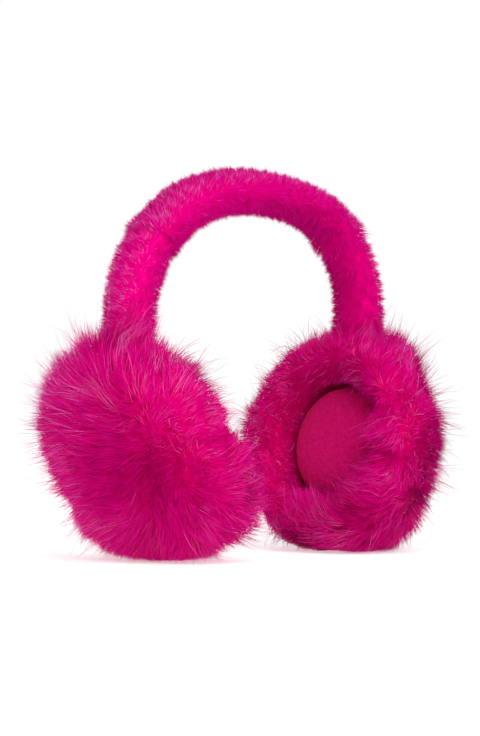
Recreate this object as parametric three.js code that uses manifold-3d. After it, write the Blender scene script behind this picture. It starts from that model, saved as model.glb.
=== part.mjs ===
import * as THREE from 'three';
import { mergeVertices } from 'three/addons/utils/BufferGeometryUtils.js';
import Module from 'manifold-3d';

// Fur earmuffs: a headband covered by three fur sleeves, two deep fur cups and the fabric pad in each cup.
// Millimetres. +X runs from ear to ear, the front faces -Y, +Z is up and both cups rest on z = 0.

// Fit between pieces
const CLEARANCE = 0.3;             // gap that pieces keep where they touch

// Headband, measured over its fur
const BAND_TOP_HEIGHT = 201;       // top of the band above the floor
const BAND_WIDEST_HEIGHT = 128;    // height at which the legs stand furthest apart
const BAND_HALF_SPAN = 85;         // middle of the head space to the middle of a leg at that height
const BAND_SQUARENESS = 2.1;       // exponent of the arch: 2 is an ellipse, more has squarer shoulders
const BAND_WIDTH = 31;             // front to back
const BAND_THICKNESS = 24;         // head side to outside
const TOP_SLEEVE_LENGTH = 152;     // along the middle of the band
const SLEEVE_OVERLAP = 5;          // how far a side sleeve runs up inside the top sleeve
const SLEEVE_TUCK = 3.5;           // how much the side sleeve is drawn in there, on each side
const SIDE_SLEEVE_SLIMMING = 0.8;  // how much slimmer than the top sleeve it is elsewhere, on each side
const TUFT_PITCH = 8;              // one row of tufts to the next along the band
const TUFT_DEPTH = 2;              // how far the fur sinks between two rows
const TUFT_RUN = 0.8;              // share of the pitch over which a row thins
const TUFT_UNEVENNESS = 0.25;      // share of the depth by which neighbouring tufts differ
const PARTING_OFFSET = 9;          // parting in the fur, right of the top of the arch
const PARTING_DEPTH = 1.4;

// Fur cups, measured over the close fur that the locks stand on
const CUP_RADIUS = 59;
const CUP_OUTER_DEPTH = 35;        // rim to the middle of the outer face
const CUP_INNER_DEPTH = 20;        // rim to the crest of the ring round the ear pad
const CUP_SQUARENESS = 2.4;        // exponent of the dome's outline
const CUP_HALF_SPACING = 72;       // middle of the head space to the middle of a cup
const CUP_FLATTENING = 2.5;        // how far the close fur is pressed flat by the floor
const BAND_SEAT_WALL = 8;          // fur between the end of the band and the ear pad's recess

// The cups swing on the band, so each rests at a tilt of its own: degrees by which its top leans outward
const CUPS = [
  { name: 'left', side: -1, tilt: 26 },
  { name: 'right', side: 1, tilt: 11 },
];

// Locks of the cups
const LOCK_LENGTH = 27;
const LOCK_WIDTH = 13;
const LOCK_THICKNESS = 6;
const LOCK_LIFT = 6.5;              // how far a lock's tip stands off the close fur
const LOCK_CURL = 14;              // degrees that a tip may turn aside round the cup's axis
const LOCK_VARIATION = 0.18;       // share by which locks differ in length, lift and width
const LOCK_SCATTER = 0.2;          // share of their spacing by which they leave their even places

// Ear pads
const EAR_PAD_RADIUS = 32;
const EAR_PAD_THICKNESS = 20;      // back to the top of the dome
const EAR_PAD_EDGE = 9;            // height of the side before the dome begins
const EAR_PAD_BACK = 9;            // how far outward of the cup's rim the recess ends

// Number of faces
const BAND_SIDES = 14;
const CUP_SEGMENTS = 28;
const DOME_STEPS = 6;
const RING_STEPS = 7;
const PAD_STEPS = 6;
const LOCK_SIDES = 3;

// Rows of locks: share of the way along the skin from the middle of the outer face over the rim to the
// recess, locks in the row, and shares of the lock length, width and lift
const LOCK_ROWS = [
  { along: 0.03, locks: 4, length: 0.75, width: 0.90, lift: 0.8 },
  { along: 0.13, locks: 8, length: 0.90, width: 1.00, lift: 0.9 },
  { along: 0.25, locks: 12, length: 1.00, width: 1.10, lift: 1.0 },
  { along: 0.37, locks: 15, length: 1.00, width: 1.15, lift: 1.1 },
  { along: 0.49, locks: 16, length: 0.95, width: 1.15, lift: 1.1 },
  { along: 0.61, locks: 15, length: 0.80, width: 1.10, lift: 0.9 },
  { along: 0.73, locks: 12, length: 0.60, width: 1.00, lift: 0.7 },
];

// A lock from its buried root to just short of its tip: share of its length, and shares of lift, width
// and thickness there
const LOCK_SHAPE = [
  { along: 0.00, lift: -0.55, width: 0.55, thickness: 0.90 },
  { along: 0.35, lift: 0.10, width: 1.00, thickness: 1.00 },
  { along: 0.72, lift: 0.45, width: 0.72, thickness: 0.70 },
];

const wasm = await Module();
wasm.setup();

THREE.MathUtils.seededRandom(20);

// A number from -1 to 1, the same in every run
function vary() {
  return 2 * THREE.MathUtils.seededRandom() - 1;
}

function onlyPositions(geometry) {
  geometry.deleteAttribute('normal');
  geometry.deleteAttribute('uv');
  return mergeVertices(geometry);
}

function solidOf(geometry) {
  const merged = onlyPositions(geometry);
  return new wasm.Manifold(new wasm.Mesh({
    numProp: 3,
    vertProperties: new Float32Array(merged.attributes.position.array),
    triVerts: new Uint32Array(merged.index.array),
  }));
}

function geometryOf(solid) {
  const mesh = solid.getMesh();
  const geometry = new THREE.BufferGeometry();
  geometry.setAttribute('position', new THREE.BufferAttribute(mesh.vertProperties, 3));
  geometry.setIndex(new THREE.BufferAttribute(mesh.triVerts, 1));
  geometry.computeVertexNormals();
  return geometry;
}

// Closed body through rings of equally many points, drawn together to one point at each end
function loft(start, rings, end) {
  const sides = rings[0].length;
  const points = [start, ...rings.flat(), end];
  const index = [];
  for (let side = 0; side < sides; side += 1) {
    const next = (side + 1) % sides;
    index.push(0, 1 + next, 1 + side);
    for (let ring = 0; ring < rings.length - 1; ring += 1) {
      const near = 1 + ring * sides;
      const far = near + sides;
      index.push(near + side, near + next, far + next);
      index.push(near + side, far + next, far + side);
    }
    const last = 1 + (rings.length - 1) * sides;
    index.push(last + side, last + next, points.length - 1);
  }
  const geometry = new THREE.BufferGeometry().setFromPoints(points);
  geometry.setIndex(index);
  return geometry;
}

// Cups

const RECESS_RADIUS = EAR_PAD_RADIUS + CLEARANCE;

// Middle of a cup at its rim, as high as its leaning outline needs to be pressed flat by the set amount
function cupMiddle({ side, tilt }) {
  const lean = THREE.MathUtils.degToRad(tilt);
  const reaches = skinOutline().map((point) => point.x * Math.cos(lean) + point.y * Math.sin(lean));
  return new THREE.Vector3(side * CUP_HALF_SPACING, 0, Math.max(...reaches) - CUP_FLATTENING);
}

// The cup's own frame has +X outward along the cup's axis; side is 1 for the right cup and -1 for the left
function cupFrame(cup) {
  const { side, tilt } = cup;
  const frame = new THREE.Group();
  frame.position.copy(cupMiddle(cup));
  frame.rotation.set(0, side * THREE.MathUtils.degToRad(tilt), side > 0 ? 0 : Math.PI);
  frame.updateMatrixWorld();
  return frame;
}

// Half outline of the close fur, x away from the cup's axis and y outward along it: a superellipse for the
// dome, then half an ellipse for the ring round the ear pad
function skinOutline() {
  const power = 2 / CUP_SQUARENESS;
  const ringMiddle = (CUP_RADIUS + RECESS_RADIUS) / 2;
  const ringHalf = (CUP_RADIUS - RECESS_RADIUS) / 2;
  const points = [];
  for (let step = 0; step < DOME_STEPS; step += 1) {
    const angle = (step / DOME_STEPS) * Math.PI / 2;
    const x = CUP_RADIUS * Math.sin(angle) ** power;
    points.push(new THREE.Vector2(x, CUP_OUTER_DEPTH * Math.cos(angle) ** power));
  }
  for (let step = 0; step <= RING_STEPS; step += 1) {
    const angle = (step / RING_STEPS) * Math.PI;
    const x = ringMiddle + ringHalf * Math.cos(angle);
    points.push(new THREE.Vector2(x, -CUP_INNER_DEPTH * Math.sin(angle)));
  }
  return points;
}

// The close fur as one body of revolution with the ear pad's recess in it
function closeFur(outline) {
  const floor = [new THREE.Vector2(RECESS_RADIUS, EAR_PAD_BACK), new THREE.Vector2(0, EAR_PAD_BACK)];
  const profile = [...outline, ...floor].reverse();
  const geometry = new THREE.LatheGeometry(profile, CUP_SEGMENTS);
  return geometry.rotateZ(-Math.PI / 2);
}

// One point over the skin, turned to angle round the cup's axis (0 is up), with the skin's directions there
function skinPlace(skin, along, angle, height) {
  const share = THREE.MathUtils.clamp(along, 0, 1);
  const flat = skin.getPointAt(share);
  const run = skin.getTangentAt(share);
  const turn = (x, y) => new THREE.Vector3(y, -x * Math.sin(angle), x * Math.cos(angle));
  const forward = turn(run.x, run.y);
  const away = turn(-run.y, run.x);
  const place = turn(flat.x, flat.y).addScaledVector(away, height);
  const across = new THREE.Vector3().crossVectors(away, forward);
  return { place, away, across };
}

// Whether a place lies where the band's leg comes down into the cup
function inBandsWay(place, leg) {
  const nearest = leg.closestPointToPoint(place, true, new THREE.Vector3());
  const off = place.clone().sub(nearest);
  const thickness = BAND_THICKNESS / 2 + LOCK_THICKNESS / 2;
  const width = BAND_WIDTH / 2 + LOCK_THICKNESS / 2;
  return Math.hypot(off.x, off.z) < thickness && Math.abs(off.y) < width;
}

// A flat tapered lock that follows the skin from its root and lifts off it towards its tip, or none where
// the band would cut it off
function lock(skin, row, angle, leg) {
  const length = LOCK_LENGTH * row.length * (1 + LOCK_VARIATION * vary()) / skin.getLength();
  const lift = LOCK_LIFT * row.lift * (1 + LOCK_VARIATION * vary());
  const width = LOCK_WIDTH * row.width * (1 + LOCK_VARIATION * vary());
  const curl = THREE.MathUtils.degToRad(LOCK_CURL) * vary();
  const at = (share, height) => skinPlace(skin, row.along + length * share, angle + curl * share ** 2, height);
  const rings = LOCK_SHAPE.map((shape) => {
    const { place, away, across } = at(shape.along, lift * shape.lift);
    return Array.from({ length: LOCK_SIDES }, (_, side) => {
      const turn = Math.PI / 2 + (side / LOCK_SIDES) * 2 * Math.PI;
      return place.clone()
        .addScaledVector(across, width / 2 * shape.width * Math.cos(turn))
        .addScaledVector(away, LOCK_THICKNESS / 2 * shape.thickness * Math.sin(turn));
    });
  });
  const tip = at(1, lift).place;
  const middles = LOCK_SHAPE.map((shape) => at(shape.along, lift * shape.lift).place);
  const blocked = [...middles, tip].some((place) => inBandsWay(place, leg));
  return blocked ? null : loft(middles[0], rings, tip);
}

// The whole of the fur round one cup, cut for the band's end and flat where it rests on the floor
function cupFur(frame, cup) {
  const toFrame = frame.matrixWorld.clone().invert();
  const { widest, seat } = legEnds(cup);
  const leg = new THREE.Line3(widest, seat).applyMatrix4(toFrame);
  const outline = skinOutline();
  const skin = new THREE.SplineCurve(outline);
  let fur = solidOf(closeFur(outline));
  LOCK_ROWS.forEach((row, rowIndex) => {
    for (let index = 0; index < row.locks; index += 1) {
      const step = (index + (rowIndex % 2) / 2 + LOCK_SCATTER * vary()) / row.locks;
      const shape = lock(skin, row, step * 2 * Math.PI, leg);
      fur = shape ? fur.add(solidOf(shape)) : fur;
    }
  });
  fur = fur.subtract(solidOf(bandSocket(cup.side).applyMatrix4(toFrame)));
  fur = fur.intersect(solidOf(spaceAboveFloor().applyMatrix4(toFrame)));
  return geometryOf(largestBody(fur));
}

// The body itself, without tips of locks that a cut has left loose
function largestBody(solid) {
  return solid.decompose().reduce((largest, body) => (body.volume() > largest.volume() ? body : largest));
}

function spaceAboveFloor() {
  const size = 2 * (CUP_HALF_SPACING + BAND_TOP_HEIGHT);
  return new THREE.BoxGeometry(size, size, size).translate(0, 0, size / 2);
}

// A round pad with a flat back, an upright side and a domed face
function earPad() {
  const back = EAR_PAD_BACK - CLEARANCE;
  const crown = EAR_PAD_THICKNESS - EAR_PAD_EDGE;
  const profile = [new THREE.Vector2(0, back), new THREE.Vector2(EAR_PAD_RADIUS, back)];
  for (let step = 0; step <= PAD_STEPS; step += 1) {
    const angle = (step / PAD_STEPS) * Math.PI / 2;
    const x = EAR_PAD_RADIUS * Math.cos(angle);
    profile.push(new THREE.Vector2(x, back - EAR_PAD_EDGE - crown * Math.sin(angle)));
  }
  const geometry = new THREE.LatheGeometry(profile.reverse(), CUP_SEGMENTS);
  return geometry.rotateZ(-Math.PI / 2);
}

// Headband

const BAND_RISE = BAND_TOP_HEIGHT - BAND_THICKNESS / 2 - BAND_WIDEST_HEIGHT;

// Superellipse over the legs, from the left one to the right one
class BandArch extends THREE.Curve {
  getPoint(t, target = new THREE.Vector3()) {
    const angle = Math.PI * (1 - t);
    const power = 2 / BAND_SQUARENESS;
    const x = Math.sign(Math.cos(angle)) * Math.abs(Math.cos(angle)) ** power;
    const z = Math.max(Math.sin(angle), 0) ** power;
    return target.set(BAND_HALF_SPAN * x, 0, BAND_WIDEST_HEIGHT + BAND_RISE * z);
  }
}

// The leg's upper end, where the arch is widest, and its lower end, over the ear pad's recess in the cup
function legEnds(cup) {
  const { side, tilt } = cup;
  const lean = THREE.MathUtils.degToRad(tilt);
  const up = new THREE.Vector3(side * Math.sin(lean), 0, Math.cos(lean));
  const widest = new THREE.Vector3(side * BAND_HALF_SPAN, 0, BAND_WIDEST_HEIGHT);
  const seat = cupMiddle(cup).addScaledVector(up, RECESS_RADIUS + BAND_SEAT_WALL + CLEARANCE);
  return { widest, seat };
}

// The leg leaves the arch straight down and bends towards its seat
function bandLeg(cup) {
  const { widest, seat } = legEnds(cup);
  const knee = widest.clone().setZ((widest.z + seat.z) / 2);
  return cup.side > 0
    ? new THREE.QuadraticBezierCurve3(widest, knee, seat)
    : new THREE.QuadraticBezierCurve3(seat, knee, widest);
}

const [LEFT_LEG, RIGHT_LEG] = CUPS.map(bandLeg);
const ARCH = new BandArch();
const BAND = new THREE.CurvePath();
[LEFT_LEG, ARCH, RIGHT_LEG].forEach((stretch) => BAND.add(stretch));

// Length of the band from its top to the end of its left or right leg
function bandReach(side) {
  return ARCH.getLength() / 2 + (side > 0 ? RIGHT_LEG : LEFT_LEG).getLength();
}

// Share of the whole band's length at a distance from its top, positive to the right
function bandShare(distance) {
  return THREE.MathUtils.clamp((bandReach(-1) + distance) / (bandReach(-1) + bandReach(1)), 0, 1);
}

function bandMiddle(distance) {
  return BAND.getPointAt(bandShare(distance));
}

// Elliptical ring of points round the band, each drawn in by what inset gives for its side
function bandRing(distance, inset) {
  const middle = bandMiddle(distance);
  const run = BAND.getTangentAt(bandShare(distance));
  const outward = new THREE.Vector3(-run.z, 0, run.x);
  return Array.from({ length: BAND_SIDES }, (_, side) => {
    const turn = (side / BAND_SIDES) * 2 * Math.PI;
    const half = inset(side);
    return middle.clone()
      .addScaledVector(outward, (BAND_THICKNESS / 2 - half) * Math.cos(turn))
      .add(new THREE.Vector3(0, -(BAND_WIDTH / 2 - half) * Math.sin(turn), 0));
  });
}

// Rows of short tufts: every row starts full, thins towards its end and steps up into the next one
function tuftedRings(from, to, slimming) {
  const rows = Math.max(1, Math.round((to - from) / TUFT_PITCH));
  const pitch = (to - from) / rows;
  const rings = [];
  for (let row = 0; row < rows; row += 1) {
    const start = from + row * pitch;
    const odd = (side) => (side + row) % 2;
    const full = (side) => slimming + TUFT_DEPTH * TUFT_UNEVENNESS * (1 + odd(side) + vary() / 2);
    const thin = (side) => slimming + TUFT_DEPTH * (1 - TUFT_UNEVENNESS * odd(side));
    rings.push(bandRing(start, full), bandRing(start + pitch * TUFT_RUN, thin));
  }
  rings.push(bandRing(to, () => slimming + TUFT_DEPTH / 2));
  return rings;
}

// The fur is drawn in round a parting beside the top of the arch
function headbandTop() {
  const half = TOP_SLEEVE_LENGTH / 2;
  const parting = bandRing(PARTING_OFFSET, () => TUFT_DEPTH + PARTING_DEPTH);
  const rings = [
    ...tuftedRings(-half, PARTING_OFFSET - TUFT_PITCH / 4, 0),
    parting,
    ...tuftedRings(PARTING_OFFSET + TUFT_PITCH / 4, half, 0),
  ];
  let sleeve = solidOf(loft(bandMiddle(-half), rings, bandMiddle(half)));
  sleeve = sleeve.subtract(solidOf(sleeveSocket(-1))).subtract(solidOf(sleeveSocket(1)));
  return geometryOf(sleeve);
}

// A plain stretch of the band, drawn in all round by the same amount
function plainBand(from, to, inset) {
  const rings = [from, (from + to) / 2, to].map((distance) => bandRing(distance, () => inset));
  return loft(bandMiddle(from), rings, bandMiddle(to));
}

// Hollow in the end of the top sleeve for the drawn-in end of a side sleeve
function sleeveSocket(side) {
  const inner = TOP_SLEEVE_LENGTH / 2 - SLEEVE_OVERLAP - CLEARANCE;
  const outer = TOP_SLEEVE_LENGTH / 2 + TUFT_PITCH;
  const inset = SLEEVE_TUCK - CLEARANCE;
  return side > 0 ? plainBand(inner, outer, inset) : plainBand(-outer, -inner, inset);
}

// Hollow in the top of a cup for the end of a side sleeve
function bandSocket(side) {
  const end = side * bandReach(side);
  const along = [2, 1, 0.5, 0].map((share) => end - side * share * BAND_WIDTH);
  const rings = along.map((distance) => bandRing(distance, () => -CLEARANCE));
  const down = BAND.getTangentAt(bandShare(end)).multiplyScalar(side * CLEARANCE);
  const floor = bandMiddle(end).add(down);
  rings.push(rings.at(-1).map((point) => point.clone().add(down)));
  return side > 0
    ? loft(bandMiddle(along[0]), rings, floor)
    : loft(floor, rings.reverse(), bandMiddle(along[0]));
}

function headbandSide(side) {
  const top = TOP_SLEEVE_LENGTH / 2;
  const plug = [top - SLEEVE_OVERLAP, top + CLEARANCE].map((distance) => side * distance);
  const tucked = plug.map((distance) => bandRing(distance, () => SLEEVE_TUCK));
  const from = top + 2 * CLEARANCE;
  const slimming = SIDE_SLEEVE_SLIMMING;
  const rings = side > 0
    ? [...tucked, ...tuftedRings(from, bandReach(side), slimming)]
    : [...tuftedRings(-bandReach(side), -from, slimming), ...tucked.reverse()];
  const ends = side > 0 ? [plug[0], bandReach(side)] : [-bandReach(side), plug[0]];
  return loft(bandMiddle(ends[0]), rings, bandMiddle(ends[1]));
}

// Finishes and assembly

function furMaterial(colour) {
  return new THREE.MeshStandardMaterial({ color: colour, roughness: 0.85, metalness: 0, flatShading: true });
}

function piece(name, geometry, material) {
  const mesh = new THREE.Mesh(geometry, material);
  mesh.name = name;
  return mesh;
}

const earmuffs = new THREE.Group();
earmuffs.add(piece('headband_top', headbandTop(), furMaterial('#dc1a84')));
for (const cup of CUPS) {
  const frame = cupFrame(cup);
  frame.add(piece(`cup_fur_${cup.name}`, cupFur(frame, cup), furMaterial('#c80a6c')));
  frame.add(piece(`ear_pad_${cup.name}`, earPad(), new THREE.MeshStandardMaterial({
    color: '#b80c56', roughness: 0.95, metalness: 0,
  })));
  earmuffs.add(frame);
  earmuffs.add(piece(`headband_side_${cup.name}`, headbandSide(cup.side), furMaterial('#d2127a')));
}

// The origin lies on the floor below the middle of the whole
const middle = new THREE.Box3().setFromObject(earmuffs, true).getCenter(new THREE.Vector3());
earmuffs.position.set(-middle.x, -middle.y, 0);

export default earmuffs;
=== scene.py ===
"""Fur earmuffs: dyed fur grown strand by strand on the cups and the headband, and a padded jersey cushion in
each cup. Metres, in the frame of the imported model: +X from ear to ear, the front faces -Y, +Z is up."""

import math

import bpy
import numpy as np
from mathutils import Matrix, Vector


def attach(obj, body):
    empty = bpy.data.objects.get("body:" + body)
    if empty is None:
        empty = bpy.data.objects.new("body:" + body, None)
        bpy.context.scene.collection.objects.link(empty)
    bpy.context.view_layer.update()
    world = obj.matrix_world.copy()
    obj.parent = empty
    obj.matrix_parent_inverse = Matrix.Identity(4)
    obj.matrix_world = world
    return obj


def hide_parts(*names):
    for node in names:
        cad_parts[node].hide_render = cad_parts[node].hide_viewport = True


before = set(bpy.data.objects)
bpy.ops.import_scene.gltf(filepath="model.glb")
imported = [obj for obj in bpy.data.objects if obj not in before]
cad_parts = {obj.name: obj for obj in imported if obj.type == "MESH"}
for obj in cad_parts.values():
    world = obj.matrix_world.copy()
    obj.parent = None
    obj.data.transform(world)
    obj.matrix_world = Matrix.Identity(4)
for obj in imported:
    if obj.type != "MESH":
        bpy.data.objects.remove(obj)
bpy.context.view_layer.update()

MM = 0.001
GOLDEN_TURN = math.pi * (3 - math.sqrt(5))

# Camera: the photograph's viewing angle, and the place that its middle shows
VIEW_AZIMUTH = -46
VIEW_ELEVATION = 1.3
VIEW_DISTANCE = 3000 * MM
VIEW_HEIGHT = 380.5 * MM
VIEW_MIDDLE = (1.2 * MM, 2.3 * MM, 97.4 * MM)

# Headband, measured over its fur
BAND_TOP_HEIGHT = 201 * MM
BAND_WIDEST_HEIGHT = 128 * MM
BAND_HALF_SPAN = 85 * MM
BAND_SQUARENESS = 2.1
BAND_WIDTH = 31 * MM
BAND_THICKNESS = 24 * MM
BAND_SEAT = 40.6 * MM            # end of a leg, from the cup's middle
TOP_SLEEVE_LENGTH = 152 * MM
SIDE_SLEEVE_SLIMMING = 0.8 * MM
SLEEVE_END = 9 * MM              # over which the top sleeve's hair leans out over the side sleeves

# Bumps of the band's fur: distance from its top, half width, rise on the outer side, rise on the inner side
BAND_BUMPS = [
    (-134 * MM, 9 * MM, 3.5 * MM, 0.0 * MM),
    (-124 * MM, 18 * MM, 1.8 * MM, 0.0 * MM),
    (-92 * MM, 24 * MM, 0.0 * MM, 5.4 * MM),
    (-66 * MM, 9 * MM, -1.9 * MM, 0.0 * MM),
    (-58 * MM, 14 * MM, 0.0 * MM, 1.2 * MM),
    (-46 * MM, 16 * MM, 0.9 * MM, 0.0 * MM),
    (22 * MM, 26 * MM, -2.2 * MM, 0.2 * MM),
    (46 * MM, 12 * MM, 0.0 * MM, -1.2 * MM),
    (63 * MM, 8 * MM, 0.0 * MM, -3.0 * MM),
    (86 * MM, 9 * MM, 0.0 * MM, 1.6 * MM),
    (98 * MM, 18 * MM, -0.9 * MM, 0.0 * MM),
    (128 * MM, 14 * MM, 2.6 * MM, 0.0 * MM),
]

# Fur cups, measured over the close fur that the locks stand on
CUP_RADIUS = 59 * MM
CUP_OUTER_DEPTH = 35 * MM
CUP_INNER_DEPTH = 20 * MM
CUP_SQUARENESS = 2.4
RECESS_RADIUS = 32.3 * MM
PAD_BACK = 8.7 * MM              # back of the ear pad, outward of the cup's rim
PAD_FRONT = -0.3 * MM            # where the pad's side ends and its dome begins

# Where a cup's hair is longer or shorter: share of the outline, angle round the axis in degrees (0 is up),
# size, and the share by which it is longer. The fur climbs the band, and the cups make room for each other.
CUP_BUMPS = {
    "left": [
        (0.50, 0, 24 * MM, 0.8), (0.62, -3, 12 * MM, 1.6), (0.64, 9, 9 * MM, 0.6), (0.56, 33, 10 * MM, 0.7),
        (0.50, 47, 15 * MM, 0.25), (0.40, 98, 22 * MM, -0.3), (0.30, 112, 14 * MM, -0.35),
        (0.31, 97, 6 * MM, 0.6), (0.33, 127, 10 * MM, 0.35), (0.39, 142, 9 * MM, -0.25),
        (0.67, -132, 13 * MM, 0.9), (0.59, -156, 14 * MM, -0.4), (0.57, -84, 20 * MM, -0.35),
        (0.75, -79, 12 * MM, -0.5), (0.72, -110, 14 * MM, 0.6), (0.74, -50, 13 * MM, -0.3),
        (0.66, -20, 12 * MM, 0.4)],
    "right": [
        (0.40, -4, 26 * MM, 0.8), (0.34, -72, 30 * MM, -0.35), (0.41, -80, 9 * MM, 0.3),
        (0.44, -103, 9 * MM, -0.25), (0.49, -45, 16 * MM, -0.35), (0.45, -155, 22 * MM, 0.6),
        (0.66, 157, 16 * MM, -0.5), (0.73, 81, 12 * MM, 0.3), (0.76, 104, 16 * MM, 0.5),
        (0.82, 0, 16 * MM, -0.35), (0.84, 176, 20 * MM, 0.9)],
}

# Where the hair of each cup spreads from: share of the outline, angle round the axis in degrees (0 is up)
WHORLS = {"left": (0.2, -78), "right": (0.15, -60)}

# Lie of a cup's hair. A weight is compared with the hair's own way straight out of the skin.
WHORL_SIZE = 26 * MM             # round the whorl, hair stands up within about this distance
CUP_COMB = 1.3                   # how flat hair lies far from the whorl: the tangent of its angle
CUP_SAG = 0.4                    # weight of its fall
FLOW_WAVELENGTH = 48 * MM        # over which the fur's lie wanders
FLOW_WEIGHT = 0.7
CLUMP_WAVELENGTH = 22 * MM       # width of the soft clumps that it gathers in
CLUMP_WEIGHT = 0.55
RING_CLUMP_WEIGHT = 0.75         # what the ring adds to that
ROOT_LEAN = 0.25                 # how much of the lie shows at a hair's root
RING_STIFFNESS = 0.2             # how much straighter hair stands on the ring
RING_LEAN_OFF = 0.9              # weight with which the ring's hair leans off the pad, above and behind
RING_LEAN_CHANGE = 1.6           # and by how much that changes to the other side, where it leans to the pad
RING_OVERHANG = 1.1              # how far it leans across the pad there
OPEN_SIDE = math.radians(45)     # round the ring, where its hair leans off the pad
TIP_TOUSLE = 1.4                 # how much further a lock strays at its tip than at its root
ROOT_TOUSLE = 0.7                # how much less a hair strays at its root than at its tip

# Lengths and depths of a cup's fur. Pairs of lists are shares of the outline and the values there.
HAIRY_SHARE = 0.985              # share of the skin's area that bears locks
LOCK_STRAY = 0.03                # radians round the axis by which a lock strays from the spiral
LEAST_RADIUS = 4 * MM            # nearer the axis than this, a lock isn't spread any wider round it
LUMP_WAVELENGTH = 34 * MM        # low swells about as wide as a thumb
LUMP_HEIGHT = 2.2 * MM
LUMP_SWELL = 0.14                # share by which hair is longer on a lump
CLUMP_SWELL = ([0.45, 0.6], [0.1, 0.42])
SHORTER_DOWN_RING = ([0, 0.4, 0.5, 0.72, 0.86, 1], [0, 0, 0.1, 0.25, 0.4, 0.6])
SHORTEST_OFF_PAD = 1.15          # factor on these where the ring's hair leans off the pad
LONGER_TO_PAD = 0.6              # and how much less it is on the other side
UNDERFUR_DEPTH = ([0, 0.5, 0.66, 0.82, 1], [5 * MM, 5 * MM, 4.5 * MM, 4 * MM, 3 * MM])
HOLLOW_DEPTH = 5 * MM            # how far the underfur sinks where it has no hair at all
MOUND_WAVELENGTH = 7 * MM        # shallow mounds of the underfur
MOUND_HEIGHT = 0.8 * MM

# Tones of hair. The materials are dark below DARK_TONES, pale above PALE_TONES and plain between them.
# The dark colour serves both random darker hair and painted shade; the pale colour is painted sheen.
DARK_TONES = (0.45, 0.05)        # where dark begins, and where it is full
DARK_AMOUNT = 0.75
PALE_TONES = (0.55, 1.0)
PALE_AMOUNT = 0.9
CUP_TONE = 0.455
CUP_TONE_SPREAD = 0.07           # from lock to lock, and again from hair to hair
SWELL_PAINTED_LIGHT_AND_SHADE = 0.8                 # painted light and shade: longer hair is painted lighter, shorter hair darker
SWELL_PAINTED_LIGHT_MOST = 0.06
WHORL_PAINTED_SHADE = 0.2                # painted shade round the whorl, where one looks deeper into the hair that stands up there
# Painted sheen on the cups: where the pale hairs are
PALE_FROM_WHORL = [26 * MM, 50 * MM]     # distances from the whorl with none of it and with its full share
PALE_ON_RING = 0.15
PALE_LOST_TO_PAD = 0.85          # share of it that is missing where the ring's hair leans to the pad

# Kinds of cup hair. Length and width are those of one hair, spread is a lock's radius. The tousle is how far
# a hair strays from the flow, flat how far it lies down, pull how far it is drawn into its lock, and shortest
# the least share of the length. pale_share of the hairs are paler, a painted sheen, by pale on the scale of
# tones.
COAT = dict(
    locks=1450, per_lock=20, length=11.2 * MM, spread=4 * MM, width=0.32 * MM, places=3, tousle=0.13,
    flat=1.0, pull=0.2, crimp=0.0, shortest=0.85, pale_share=0.04, pale=0.2)
GUARD_HAIR = dict(
    locks=540, per_lock=24, length=13.5 * MM, spread=5 * MM, width=0.28 * MM, places=3, tousle=0.15,
    flat=1.25, pull=0.45, crimp=0.0, shortest=0.8, pale_share=0.15, pale=0.3)
LONG_HAIR = dict(
    locks=400, per_lock=9, length=16 * MM, spread=4 * MM, width=0.24 * MM, places=4, tousle=0.15,
    flat=1.4, pull=0.5, crimp=0.2 * MM, shortest=0.75, pale_share=0.6, pale=0.4)
WISPS = dict(
    locks=950, per_lock=2, length=25 * MM, spread=2.5 * MM, width=0.18 * MM, places=5, tousle=0.15,
    flat=1.2, pull=0.3, crimp=0.3 * MM, shortest=0.5, pale_share=0.8, pale=0.45)

# Kinds of headband hair, on the top sleeve and on each side one: number, length and width
TOP_SLEEVE_HAIR = [(20500, 4.9 * MM, 0.34 * MM), (4500, 6 * MM, 0.26 * MM)]
SIDE_SLEEVE_HAIR = [(7000, 4.7 * MM, 0.34 * MM), (1500, 6 * MM, 0.26 * MM)]
BAND_HAIR_PLACES = 3
BAND_UNDERFUR_DEPTH = 3.4 * MM
RIPPLE_HEIGHT = 0.5 * MM         # of the underfur
TUFT_WAVELENGTH = 6 * MM         # width of the headband's tufts
TUFT_WEIGHT = 0.55               # of the tufts in the hair's lie
SWIRL_WEIGHT = 0.4               # and of its slow wander
BAND_STRAY = 0.16
TUFT_SEED = 77
SWIRL_SEED = 78
STREAK_SEED = 79
BAND_ROOT_LEAN = 0.3
OUTER_COMB = 0.6                 # how far the outer side's hair is combed across the band
END_LEAN = 1.2                   # how far the top sleeve's hair leans out over the side sleeves
LEFT_END_SHARE = 0.25            # what its left end has of that
LEFT_WAIST = 0.35                # by how much more the side sleeves slim down there
RIGHT_WAIST = 1.3
STREAK_WAVELENGTH = 2.4 * MM     # of the light and dark streaks across the band, painted highlight and shade on its outer side
STREAK_RADIUS = 6 * MM           # they are laid out on a band as thin as this, and so drawn out across it
BAND_TONE = 0.42
BAND_TONE_SPREAD = 0.04
STREAK_TONE = 0.03               # on the inner side
OUTER_PAINTED_STREAKS = 0.2          # painted highlight and shade: what the outer side, where the light catches the hair, adds to that
BAND_PALE_SHARE = 0.01
# painted sheen: pale hairs where the light catches the outer side
OUTER_PAINTED_SHEEN_SHARE = 0.3
BAND_PALE = 0.26

# All hair
OWN_NORMAL = 0.6                 # how much of a hair's shading is its own, and not that of the coat
FLOOR_GIVE = 5 * MM              # height below which hair is pressed towards the floor
# From the middle, along X and Y: where hair begins to bend back, and how much further it can reach
HAIR_REACH = (119 * MM, 68 * MM)
HAIR_GIVE = (14.5 * MM, 9 * MM)

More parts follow.
